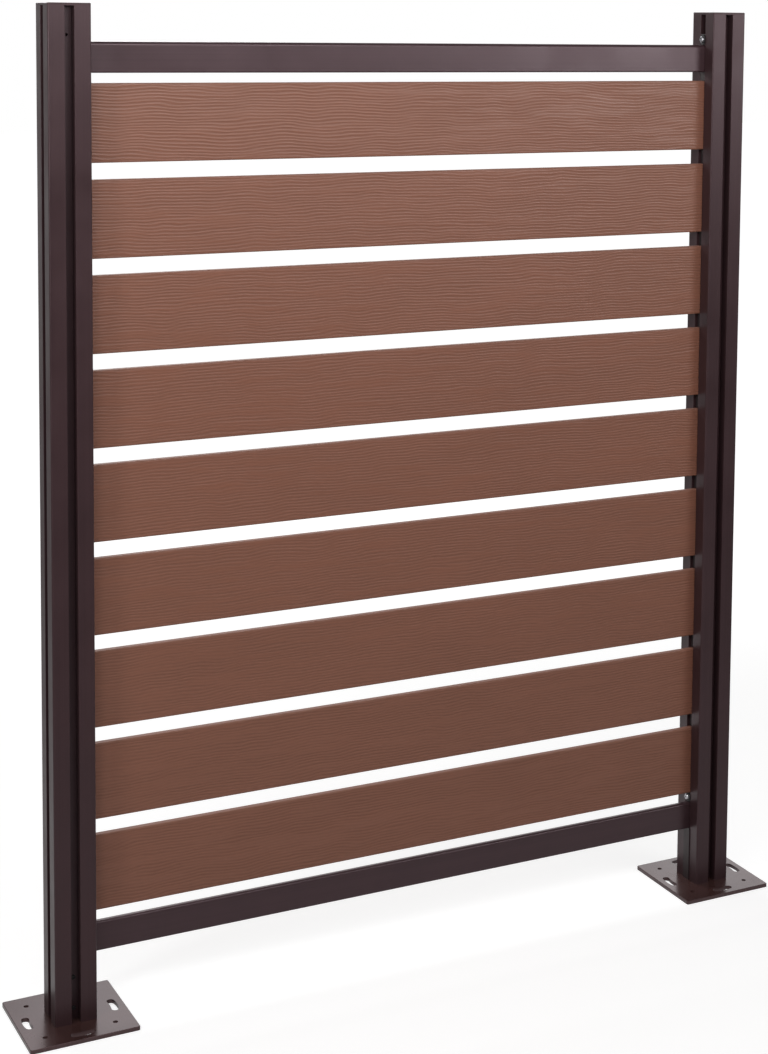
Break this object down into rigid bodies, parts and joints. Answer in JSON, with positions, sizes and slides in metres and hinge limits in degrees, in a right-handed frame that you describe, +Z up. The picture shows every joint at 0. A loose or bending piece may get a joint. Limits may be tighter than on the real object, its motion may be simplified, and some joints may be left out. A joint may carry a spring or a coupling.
{
  "type": "garden privacy screen",
  "caption": "Free-standing garden privacy screen: horizontal composite boards with gaps, held between grooved aluminium posts on flat base plates.",
  "frame": {"origin": "on the ground, half way between the two posts, centre of the bounding box's underside", "axes": "+Z up, +X along the screen, Y through its thickness, the near side in the picture facing -Y"},
  "size_m": [1.673, 0.213, 1.959],
  "materials": {
    "post_coating": "satin dark bronze powder coat on aluminium",
    "plate_coating": "satin dark bronze powder coat on steel",
    "galvanised_steel": "dull zinc",
    "board_composite": "embossed wood grain, matt",
    "rail_coating": "satin dark bronze powder coat on aluminium",
    "spacer_plastic": "matt moulded",
    "screw_steel": "bright stainless",
    "dark_screw_steel": "black coated"
  },
  "bodies": {
    "root": {"board_1": "board_composite", "board_2": "board_composite", "board_3": "board_composite", "board_4": "board_composite", "board_5": "board_composite", "board_6": "board_composite", "board_7": "board_composite", "board_8": "board_composite", "board_9": "board_composite", "bottom_rail": "rail_coating", "left_base_plate": "plate_coating", "left_base_spigot": "galvanised_steel", "left_board_spacer_1": "spacer_plastic", "left_board_spacer_2": "spacer_plastic", "left_board_spacer_3": "spacer_plastic", "left_board_spacer_4": "spacer_plastic", "left_board_spacer_5": "spacer_plastic", "left_board_spacer_6": "spacer_plastic", "left_board_spacer_7": "spacer_plastic", "left_board_spacer_8": "spacer_plastic", "left_bottom_rail_spacer": "spacer_plastic", "left_foot_screws": "dark_screw_steel", "left_post": "post_coating", "left_post_cap": "post_coating", "left_rail_stop": "spacer_plastic", "left_support_strip": "spacer_plastic", "left_top_rail_spacer": "spacer_plastic", "rail_screws": "screw_steel", "rail_washers": "dark_screw_steel", "right_base_plate": "plate_coating", "right_base_spigot": "galvanised_steel", "right_board_spacer_1": "spacer_plastic", "right_board_spacer_2": "spacer_plastic", "right_board_spacer_3": "spacer_plastic", "right_board_spacer_4": "spacer_plastic", "right_board_spacer_5": "spacer_plastic", "right_board_spacer_6": "spacer_plastic", "right_board_spacer_7": "spacer_plastic", "right_board_spacer_8": "spacer_plastic", "right_bottom_rail_spacer": "spacer_plastic", "right_foot_screws": "dark_screw_steel", "right_post": "post_coating", "right_post_cap": "post_coating", "right_rail_stop": "spacer_plastic", "right_support_strip": "spacer_plastic", "right_top_rail_spacer": "spacer_plastic", "top_rail": "rail_coating"}
  },
  "joints": []
}
